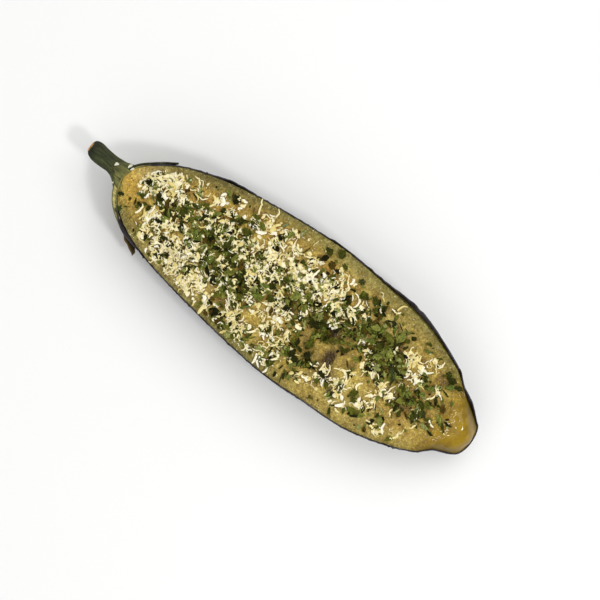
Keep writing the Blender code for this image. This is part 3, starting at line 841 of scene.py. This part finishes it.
class Strewing:
    """Many small pieces gathered into one mesh, each with its own colour, uneven from corner to corner."""

    def __init__(self, unevenness):
        self.places, self.faces, self.tints = [], [], []
        self.count, self.unevenness = 0, unevenness
        self.draw = np.random.default_rng(SEED)

    def add(self, shape, pose, code):
        points, faces = shape
        pose = np.array(pose)
        shades = self.draw.uniform(*self.unevenness, (len(points), 1))
        self.places.append(points @ pose[:3, :3].T + pose[:3, 3])
        self.tints.append(np.hstack([linear(code) * shades, np.ones((len(points), 1))]))
        self.faces.append(faces + self.count)
        self.count += len(points)

    def finish(self, name, material):
        mesh = bpy.data.meshes.new(name)
        mesh.from_pydata(np.concatenate(self.places).tolist(), [], np.concatenate(self.faces).tolist())
        tints = np.concatenate(self.tints)
        return place_piece(name, mesh, material, "half_eggplant", lambda places: tints)


def strewn(count, patches, draw, taken):
    """count places on the cut face as (x, t), crowded in patches and SPACING or more from those in taken."""
    places = []
    while len(places) < count:
        x = draw.uniform(HEEL_X + HEEL_BARE, TIP_X - TIP_BARE)
        t = draw.uniform(-1, 1)
        middle, half = middle_and_half(x)
        y = middle + t * half
        margin = CALYX_MARGIN if x < HEEL_X + CALYX_REACH else RIM_MARGIN
        chance = PATCH_SHARE * weight_at(x, y, patches) + 1 - PATCH_SHARE
        spaced = all(math.hypot(x - ox, y - oy) > SPACING for ox, oy in taken)
        if half * (1 - abs(t)) > margin and spaced and draw.random() < chance:
            places.append((x, t))
            taken.append((x, y))
    return places


def thickness_at(x, y, patches):
    """How thickly a topping lies there, 1 being well covered."""
    return max(w * math.exp(-(((x - px) / a) ** 2) - ((y - py) / b) ** 2) for px, py, a, b, w in patches)


def pinches(count, patches, fall, draw):
    """count places on the cut face as (x, t), in small pinches that crowd in patches."""
    sizes, spreads, pitch, rim_bare, tip_bare = fall
    places, filled = [], set()
    while len(places) < count:
        x = draw.uniform(HEEL_X + FINE_HEEL_BARE, TIP_X - tip_bare)
        y = draw.uniform(-HALF_REACH, HALF_REACH)
        if draw.random() > (1 - STRAY_SHARE) * thickness_at(x, y, patches) + STRAY_SHARE:
            continue
        spread = draw.uniform(*spreads)
        for _ in range(draw.randint(*sizes)):
            px, py = x + draw.gauss(0, spread), y + draw.gauss(0, spread)
            middle, half = middle_and_half(px)
            inside = HEEL_X + FINE_HEEL_BARE < px < TIP_X - tip_bare
            cell = (round(px / pitch), round(py / pitch))
            if inside and half - abs(py - middle) > rim_bare[py > middle] and cell not in filled:
                places.append((px, (py - middle) / half))
                filled.add(cell)
    return places[:count]


def seat(x, t, lift, draw, tilt, turned=None):
    """The pose of a topping at (x, t), raised by lift, leaning by up to tilt degrees, turned or at random."""
    step = 1
    middle, half = middle_and_half(x)
    spot = cut_face(x, t)
    along = cut_face(x + step, t) - spot
    across = cut_face(x, min(t + step / half, 1)) - spot
    normal = along.cross(across).normalized()
    lean = Matrix.Rotation(math.radians(draw.uniform(-tilt, tilt)), 4, "X")
    if turned is None:
        angle, upright = draw.uniform(0, 2 * math.pi), normal.to_track_quat("Z", "Y")
    else:
        angle, upright = math.radians(turned), Vector((0, 0, 1)).rotation_difference(normal)
    turn = Matrix.Rotation(angle, 4, "Z")
    return Matrix.Translation(spot + normal * lift) @ upright.to_matrix().to_4x4() @ turn @ lean


def flake_mesh(
    draw, reach, slimness, tears, curls, wave=1.3, thickness=LEAF_THICKNESS, corners=6, fold=0.0, nicks=None
):
    """A torn flake of dried parsley, wavy and folded along its middle; nicks draws its torn sides."""
    bm = bmesh.new()
    bmesh.ops.create_circle(bm, cap_ends=True, radius=draw.uniform(*reach), segments=corners)
    slim = draw.uniform(*slimness)
    for corner in bm.verts:
        corner.co = corner.co * draw.uniform(*tears)
        corner.co.y *= slim
    if nicks:
        torn = bmesh.ops.subdivide_edges(bm, edges=bm.edges[:], cuts=1)
        for corner in in_order(torn["geom_inner"]):
            corner.co *= nicks.uniform(0.62, 1.12)
    bmesh.ops.poke(bm, faces=bm.faces[:])
    if nicks:
        crinkled = bmesh.ops.subdivide_edges(bm, edges=bm.edges[:], cuts=1)
        for corner in in_order(crinkled["geom_inner"]):
            corner.co += Vector([nicks.uniform(-far, far) for far in (0.2, 0.2, 0.25)])
    lower = bm.verts[:]
    raised = bmesh.ops.extrude_face_region(bm, geom=bm.faces[:])
    upper = [part for part in raised["geom"] if isinstance(part, bmesh.types.BMVert)]
    bmesh.ops.translate(bm, verts=lower, vec=(0, 0, -thickness / 2))
    bmesh.ops.translate(bm, verts=upper, vec=(0, 0, thickness / 2))
    curl, phase = draw.uniform(*curls), draw.uniform(0, 2 * math.pi)
    for corner in bm.verts:
        corner.co.z += curl * math.sin(corner.co.x / wave + phase) + fold * abs(corner.co.y)
    bmesh.ops.recalc_face_normals(bm, faces=bm.faces)
    return bm


def shred_mesh(draw, radius, bend, thickness, flatness=0.6, steps=6, sides=4, ripple=0.3):
    """A curled shred of grated cheese, thinner at its ends."""
    bm = bmesh.new()
    ring = bmesh.ops.create_circle(bm, cap_ends=True, radius=thickness, segments=sides)["verts"]
    bmesh.ops.scale(bm, verts=ring, vec=(1, flatness, 1))
    bmesh.ops.rotate(bm, verts=ring, cent=(0, 0, 0), matrix=Matrix.Rotation(math.pi / 2, 3, "X"))
    bmesh.ops.translate(bm, verts=ring, vec=(radius, 0, 0))
    bmesh.ops.rotate(bm, verts=ring, cent=(0, 0, 0), matrix=Matrix.Rotation(-bend / 2, 3, "Z"))
    bmesh.ops.spin(
        bm, geom=bm.faces[:], cent=(0, 0, 0), axis=(0, 0, 1), angle=bend, steps=steps, use_duplicate=False
    )
    kink = Vector((draw.uniform(0, 90), 0, 0))
    for corner in bm.verts:
        share = abs(math.atan2(corner.co.y, corner.co.x)) / (bend / 2)
        centre = Vector((corner.co.x, corner.co.y, 0)).normalized() * radius
        corner.co = centre + (corner.co - centre) * (1.1 - 0.6 * share**3)
        corner.co += noise.noise_vector(centre / 1.3 + kink) * ripple
    bmesh.ops.translate(bm, verts=bm.verts, vec=(-radius, 0, 0))
    bmesh.ops.recalc_face_normals(bm, faces=bm.faces)
    return bm


def crumb_mesh(draw, reach, flatness, detail=1):
    """A crumb of cheese, or a clump of crumbs that cling together."""
    bm = bmesh.new()
    bmesh.ops.create_icosphere(bm, subdivisions=detail, radius=draw.uniform(*reach))
    slim = draw.uniform(0.35, 0.9)
    for corner in in_order(bm.verts):
        corner.co *= draw.uniform(0.6, 1.4)
        corner.co.y *= slim
        corner.co.z *= flatness
    return bm


# Colours of dried parsley flakes; the darkest are partly painted shade, standing in for the shade between
# stacked flakes
LEAF_GREENS_WITH_PAINTED_SHADE = (
    "#191a06",
    "#25260a",
    "#2f310c",
    "#3a3d10",
    "#3a3d10",
    "#474a15",
    "#55581c",
    "#656829",
    "#757a38",
    "#868a50",
    "#5f6a2c",
    "#4a3a10",
)
CHEESE_CREAMS = ("#f7ebb4", "#f9f0c4", "#fcf5d2", "#f3e4a2", "#e8d78c", "#fdf9e4")
STALK_GREEN, SMEARED_CREAM = "#1c2012", "#d9dac6"
LEAF_UNEVENNESS, CHEESE_UNEVENNESS = (0.6, 1.4), (0.92, 1.04)


def speckled(name, low, high, **finish):
    """A dull material of many small dry pieces, each tinted by its own colour and mottled within."""
    made, tree, shader, tint, spot = tinted_material(name, **finish)
    speckle = add_node(
        tree,
        "ShaderNodeTexNoise",
        {"Vector": spot, "Scale": 1 / (SPECKLE * MM), "Detail": 4.0, "Roughness": 0.65},
    ).outputs["Fac"]
    final = shaded(tree, tint.outputs["Color"], speckle, (0.32, 0.68), low, high)
    finish_surface(tree, shader, final, speckle, 0.25, 0.7)
    return made


def dried_leaf():
    """Dried parsley: dull, darker between its pale veins."""
    dark, pale = (0.42, 0.44, 0.42), (1.6, 1.55, 1.45)
    return speckled("dried_parsley", dark, pale, roughness=0.85, specular_ior_level=0.08)


def grated_cheese():
    """Hard cheese off a fine grater: cream, waxy, with yellower crumbly edges."""
    dark, pale = (0.9, 0.87, 0.76), (1.03, 1.03, 1.03)
    return speckled("grated_cheese", dark, pale, roughness=0.55, specular_ior_level=0.25)


def lay_large(cheese, parsley, fine):
    """The largest shreds and flakes, where the solids have them."""
    draw, taken = random.Random(SEED), []
    for x, t in strewn(LARGE_SHREDS, CHEESE_PATCHES, draw, taken):
        radius, bend = draw.uniform(2.2, 4.6), draw.uniform(0.9, 1.9)
        bm = shred_mesh(
            fine, radius, bend, fine.uniform(0.3, 0.55), flatness=0.5, steps=9, sides=6, ripple=0.6
        )
        cheese.add(shape_of(bm), seat(x, t, SHRED_LIFT, draw, 8), fine.choice(CHEESE_CREAMS))
    for x, t in strewn(LARGE_FLAKES, PARSLEY_PATCHES, draw, taken):
        bm = flake_mesh(draw, (1.7, 3.2), (0.45, 0.85), (0.7, 1.25), (0.1, 0.4), nicks=fine)
        parsley.add(shape_of(bm), seat(x, t, FLAKE_LIFT, draw, 22), fine.choice(LEAF_GREENS_WITH_PAINTED_SHADE))


def laid(x, y, most, draw, tilt, turned):
    """The pose of a topping that lies on the others, at most so far up, and on the flesh where it is bare."""
    covered = min(thickness_at(x, y, FINE_CHEESE) + thickness_at(x, y, FINE_PARSLEY), 1)
    lift = LEAST_LIFT + (most - LEAST_LIFT) * covered**2
    middle, half = middle_and_half(x)
    return seat(x, (y - middle) / half, lift, draw, tilt, turned)


def lay_picked(cheese, parsley, fine):
    """The flakes, stalks and long shreds that stand out, each in its own place."""
    for x, y, long, wide, turn, code in PICKED_FLAKES:
        bm = flake_mesh(fine, (long, long), (wide / long, wide / long), (0.85, 1.1), (0.1, 0.4), nicks=fine)
        parsley.add(shape_of(bm), laid(x, y, PICKED_LIFT, fine, 8, turn), code)
    for x, y, long, wide, turn in STALKS:
        bm = flake_mesh(fine, (long, long), (wide / long, wide / long), (0.95, 1.05), (0.2, 0.4), wave=4)
        parsley.add(shape_of(bm), laid(x, y, STALK_LIFT, fine, 5, turn), STALK_GREEN)
    for x, y, radius, length, turn in LONG_SHREDS:
        bm = shred_mesh(fine, radius, length / radius, 0.42, steps=12, sides=6, ripple=1.3)
        cheese.add(shape_of(bm), laid(x, y, LONG_LIFT, fine, 5, turn), CHEESE_CREAMS[0])


def fine_leaf_shapes(fine):
    """Small torn flakes, and slivers of them."""
    flakes = [
        shape_of(
            flake_mesh(
                fine,
                (0.7, fine.uniform(1.3, 2.8)),
                (0.35, 0.9),
                (0.5, 1.3),
                (0.05, 0.4),
                wave=0.8,
                thickness=FINE_LEAF_THICKNESS,
                corners=fine.choice((5, 6, 7)),
                fold=fine.uniform(0, 0.7),
            )
        )
        for _ in range(FLAKE_SHAPES)
    ]
    slivers = [
        shape_of(
            flake_mesh(
                fine,
                (1.0, 2.6),
                (0.08, 0.26),
                (0.7, 1.2),
                (0.1, 0.5),
                wave=1.5,
                thickness=FINE_LEAF_THICKNESS,
            )
        )
        for _ in range(SLIVER_SHAPES)
    ]
    return flakes, slivers


def fine_cheese_shapes(fine):
    """Fine shreds, most of them short, with crumbs and flat clumps of crumbs."""
    threads, plain_shreds, wide_shreds = SHRED_SECTIONS
    shreds = []
    for number in range(SHRED_SHAPES):
        radius, length = fine.uniform(1.0, 6.0), 1.0 + 5.0 * fine.random() ** 2
        thick, flat = (threads, wide_shreds, plain_shreds, wide_shreds, plain_shreds)[number % 5]
        bm = shred_mesh(
            fine,
            radius,
            min(length / radius, MOST_BEND),
            fine.uniform(*thick),
            flatness=flat,
            steps=5,
            ripple=fine.uniform(0.5, 1.4),
        )
        shreds.append(shape_of(bm))
    crumbs = [shape_of(crumb_mesh(fine, (0.2, 0.65), 0.7)) for _ in range(CRUMB_SHAPES)]
    clumps = [shape_of(crumb_mesh(fine, (0.6, 1.45), 0.35, detail=2)) for _ in range(CRUMB_SHAPES)]
    return shreds, crumbs, clumps


def heap_at(x, t):
    """How high the finer toppings lie there."""
    middle, half = middle_and_half(x)
    return THIN_LAYER + HEAP_HEIGHT * thickness_at(x, middle + t * half, FINE_CHEESE)


def make_toppings():
    """Parsley and cheese, the largest ones first."""
    cheese, parsley = Strewing(CHEESE_UNEVENNESS), Strewing(LEAF_UNEVENNESS)
    fine = random.Random(SEED + 2)
    lay_large(cheese, parsley, fine)
    lay_picked(cheese, parsley, fine)
    flakes, slivers = fine_leaf_shapes(fine)
    shreds, crumbs, clumps = fine_cheese_shapes(fine)
    for number, (x, t) in enumerate(pinches(FINE_GRATINGS, FINE_CHEESE, CHEESE_FALL, fine)):
        kind, high = (clumps, 0.5) if number % 9 == 0 else (crumbs, 1) if number % 6 == 1 else (shreds, 1)
        pose = seat(x, t, 0.2 + high * heap_at(x, t) * fine.random(), fine, 40 * high - 10)
        cheese.add(fine.choice(kind), pose, fine.choice(CHEESE_CREAMS))
    for x, y, lift in STEM_SHREDS:
        spot = Vector((x, y, knife_height(x) + lift))
        smear = Matrix.Translation(spot) @ Matrix.Rotation(fine.uniform(0.9, 2.2), 4, "Z")
        cheese.add(shape_of(crumb_mesh(fine, (0.9, 1.3), 0.12, detail=2)), smear, SMEARED_CREAM)
    for number, (x, t) in enumerate(pinches(FINE_LEAVES, FINE_PARSLEY, LEAF_FALL, fine)):
        pose = seat(x, t, 0.2 + heap_at(x, t) * fine.uniform(0.2, 1.05), fine, 32)
        parsley.add(fine.choice(slivers if number % 4 == 0 else flakes), pose, fine.choice(LEAF_GREENS_WITH_PAINTED_SHADE))
    parsley.finish("parsley", dried_leaf())
    cheese.finish("cheese", grated_cheese())


STEM_GREEN, STEM_DARK, CUT_TAN, FACET_OLIVE = "#32371d", "#15170c", "#c8924c", "#5c5c30"
SEPAL_OLIVE, SEPAL_PALE, SEPAL_BROWN, SEPAL_CHAR = "#6a6a3c", "#a99f5e", "#5c4718", "#241a10"
SEPAL_GREEN = "#30361c"
DARK_X, DARK_REACH = -107.5, 2.2  # the stem is darkest by its cut end
FACET_X, OLIVE_X, OLIVE_FADE, FACET_EDGE, CUT_EDGE = -96, -98, 8, 0.25, 0.15


def knife_height(x):
    """Height of the flat that the knife left on the stem and calyx."""
    return rim_height(HEEL_X, 0) + CALYX_LIFT + KNIFE_CLIMB * (x - HEEL_X) / (2 * KNIFE_REACH)


def stem_tint(places):
    x, z = places[:, 0], places[:, 2]
    colours = plain(places, STEM_GREEN)
    colours = mixed(colours, STEM_DARK, 0.8 * np.exp(-(((x - DARK_X) / DARK_REACH) ** 2)))
    facet = np.clip((z - knife_height(x) + FACET_EDGE) / FACET_EDGE, 0, 1) * (x > FACET_X)
    colours = mixed(colours, FACET_OLIVE, np.clip((x - OLIVE_X) / OLIVE_FADE, 0, 1) * 0.6)
    colours = mixed(colours, FACET_OLIVE, facet)
    end = STEM_RINGS[0][0] + END_TILT * np.maximum(z - STEM_RINGS[0][2] + END_HALF, 0)
    return mixed(colours, CUT_TAN, np.clip((end + 0.5 - x) / CUT_EDGE, 0, 1))


def dried_stalk(name):
    """Eggplant stalk and calyx after the grill: dull, stringy along its length, with pale scuffs."""
    made, tree, shader, tint, spot = tinted_material(name, roughness=0.7, specular_ior_level=0.25)
    long = add_node(tree, "ShaderNodeMapping", {"Vector": spot, "Scale": (STRING_STRETCH, 1.0, 1.0)})
    strings = add_node(
        tree,
        "ShaderNodeTexNoise",
        {"Vector": long.outputs[0], "Scale": 1 / (STRINGS * MM), "Detail": 4.0, "Roughness": 0.65},
    ).outputs["Fac"]
    stringy = shaded(tree, tint.outputs["Color"], strings, (0.34, 0.68), (0.3, 0.32, 0.3), (1.9, 1.9, 1.95))
    finish_surface(tree, shader, stringy, strings, 0.35, 0.8)
    return made


def make_stem():
    """The ridged stem, lofted into the base of the calyx and cut level with the flesh."""
    bm = bmesh.new()
    rings = []
    start, end = STEM_RINGS[0][0], STEM_RINGS[-1][0]
    for step in range(STEM_STEPS + 1):
        x = start + (end - start) * (step / STEM_STEPS) ** STEM_CROWDING
        y, z, wide, tall = (through(STEM_RINGS, column, x) for column in (1, 2, 3, 4))
        ring = bmesh.ops.create_circle(bm, radius=1, segments=STEM_SIDES)["verts"]
        for corner in ring:
            angle = math.atan2(corner.co.y, corner.co.x)
            ridge = RIDGE_HEIGHT * math.cos(STEM_RIDGES * angle)
            ridge += RIB_HEIGHT * math.cos(STEM_RIBS * angle + x / 9)
            ridge += STEM_LUMPS * noise.noise(Vector((x / 9, 3 * math.cos(angle), 3 * math.sin(angle))))
            reach = Vector((0, wide * math.cos(angle), tall * math.sin(angle)))
            corner.co = Vector((x, y, z)) + reach * (1 + ridge / wide)
            back = END_TILT * max(corner.co.z - STEM_RINGS[0][2] + END_HALF, 0)
            corner.co.x += back * smooth_step(1 - (x - start) / END_REACH)
        rings.append(ring)
    loops = [
        [edge for edge in {e for v in ring for e in v.link_edges} if set(edge.verts) <= set(ring)]
        for ring in rings
    ]
    for near_loop, far_loop in zip(loops, loops[1:]):
        bmesh.ops.bridge_loops(bm, edges=near_loop + far_loop)
    bmesh.ops.holes_fill(bm, edges=loops[0] + loops[-1])
    bmesh.ops.recalc_face_normals(bm, faces=bm.faces)
    cut = bmesh.ops.bisect_plane(
        bm,
        geom=bm.verts[:] + bm.edges[:] + bm.faces[:],
        plane_co=(HEEL_X, 0, knife_height(HEEL_X)),
        plane_no=Vector((-KNIFE_CLIMB / (2 * KNIFE_REACH), 0, 1)),
        clear_outer=True,
    )
    rim_edges = [part for part in cut["geom_cut"] if isinstance(part, bmesh.types.BMEdge)]
    bmesh.ops.holes_fill(bm, edges=rim_edges)
    bmesh.ops.triangulate(bm, faces=bm.faces)
    for face in bm.faces:
        face.smooth = abs(face.normal.z) < 0.98 and face.normal.x > -0.9
    return finish_piece("stem", bm, dried_stalk("dried_stem"), "stem_calyx", stem_tint)


def skin_point(x, angle, off):
    """A point at distance off outside the skin."""
    here = belly(x, angle)
    along = belly(x + 0.5, angle) - here
    around = belly(x, angle + 2) - belly(x, angle - 2)
    return here + around.cross(along).normalized() * off


def make_sepals():
    """The tongues of the calyx, lying on the skin with their dried tips curled away."""
    bm = bmesh.new()
    tints = []
    for number, (angle, half_angle, length, thickness, curl, brown) in enumerate(SEPALS):
        known = set(bm.verts)
        grid = bmesh.ops.create_grid(bm, x_segments=SEPAL_GRID[0], y_segments=SEPAL_GRID[1], size=1)["verts"]
        faces = list({face for corner in grid for face in corner.link_faces})
        raised = bmesh.ops.extrude_face_region(bm, geom=faces)
        outer = {part for part in raised["geom"] if isinstance(part, bmesh.types.BMVert)}
        for corner in [v for v in bm.verts if v not in known]:
            share, v = (corner.co.x + 1) / 2, corner.co.y
            ragged = 1 + SEPAL_RAG * noise.noise(Vector((share * 9, v, number)))
            taper = max((1 - share**SEPAL_TAPER) ** SEPAL_BLUNTNESS, SEPAL_TIP) * ragged
            x = HEEL_X + SEPAL_START + (length - SEPAL_START) * share
            side = min(max(angle + v * half_angle * taper, -89.5), 89.5)
            wave = SEPAL_WAVE * noise.noise(Vector((x / 5, side / 12, number + 20)))
            thick = CALYX_GAP + thickness * (1.3 - 0.5 * share - 0.4 * abs(v) ** 3) + wave * share
            thick += MIDRIB_HEIGHT * math.exp(-((v / MIDRIB_WIDTH) ** 2))
            off = curl * share**SEPAL_CURL + (thick if corner in outer else 0.0)
            corner.co = skin_point(x, side, off)
            edge = max(abs(v) ** 6, share**4)
            colour = linear(SEPAL_OLIVE) * (1 - edge) + linear(SEPAL_PALE) * edge
            colour = colour * (1 - brown) + linear(SEPAL_BROWN) * brown
            green = smooth_step((side - GREEN_SIDE) / GREEN_FADE)
            colour = colour * (1 - green) + linear(SEPAL_GREEN) * green
            char = smooth_step((share - CHAR_START) / CHAR_FADE) * (1 - 0.8 * brown)
            tints.append(np.append(colour * (1 - char) + linear(SEPAL_CHAR) * char, 1.0))
    bmesh.ops.recalc_face_normals(bm, faces=bm.faces)
    bmesh.ops.triangulate(bm, faces=bm.faces)
    for face in bm.faces:
        face.smooth = True
    colours = np.array(tints)
    return finish_piece(
        "sepals", bm, dried_stalk("dried_calyx"), "stem_calyx", lambda places: colours
    )


# Stage, lights and camera
FLOOR_REACH, FLOOR_GAP, FLOOR_WHITE = 1500, 0.05, "#f1f1f0"
# Lights: name, place and size in metres, power in watts
LIGHTS = (
    ("key", (0.52, -0.02, 0.9), 0.15, 2.9),
    ("softbox", (0.15, 0.7, 1.25), 1.3, 9.4),
    ("fill", (0.1, -0.9, 1.0), 1.4, 4.8),
    ("side", (-0.8, 0.1, 0.75), 1.2, 1.8),
)
AIM, ROOM_LIGHT = (0, 0, 0.02), 0.38
VIEW_WIDTH = 269.6  # of what shows at the height of the cut face
VIEW_CENTRE = (8.64, 3.0)
VIEW_TURN = 37  # degrees
LENS, SENSOR = 200, 36


def make_stage():
    bm = bmesh.new()
    bmesh.ops.create_grid(bm, x_segments=1, y_segments=1, size=FLOOR_REACH * MM)
    bmesh.ops.translate(bm, verts=bm.verts, vec=(0, 0, CAD_LOW.z - FLOOR_GAP * MM))
    mesh = bpy.data.meshes.new("floor")
    bm.to_mesh(mesh)
    bm.free()
    # Plain white laminate board, whose soft sheen keeps the shadows gentle
    made, _, shader = new_material("white_laminate", roughness=0.55)
    shader.inputs["Base Color"].default_value = (*linear(FLOOR_WHITE), 1)
    mesh.materials.append(made)
    floor = bpy.data.objects.new("floor", mesh)
    bpy.context.scene.collection.objects.link(floor)


def add_light(name, place, size, power):
    light = bpy.data.lights.new(name, "AREA")
    light.shape = "SQUARE"
    light.size = size
    light.energy = power
    made = bpy.data.objects.new(name, light)
    made.location = place
    made.rotation_euler = (Vector(AIM) - Vector(place)).to_track_quat("-Z", "Y").to_euler()
    bpy.context.scene.collection.objects.link(made)


def make_light_and_camera():
    for light in LIGHTS:
        add_light(*light)
    world = bpy.data.worlds.new("studio")
    world.use_nodes = True
    backdrop = world.node_tree.nodes["Background"]
    backdrop.inputs["Color"].default_value = (1, 1, 1, 1)
    backdrop.inputs["Strength"].default_value = ROOM_LIGHT
    bpy.context.scene.world = world
    bpy.context.scene.view_settings.view_transform = "Standard"
    lens = bpy.data.cameras.new("overhead")
    lens.lens, lens.sensor_width = LENS, SENSOR
    made = bpy.data.objects.new("overhead", lens)
    height = CUT_HEIGHT + VIEW_WIDTH * LENS / SENSOR
    made.location = Vector((*VIEW_CENTRE, height)) * MM
    made.rotation_euler = (0, 0, math.radians(VIEW_TURN))
    bpy.context.scene.collection.objects.link(made)
    bpy.context.scene.camera = made


make_flesh()
make_skin()
make_stem()
make_sepals()
make_toppings()
make_stage()
make_light_and_camera()
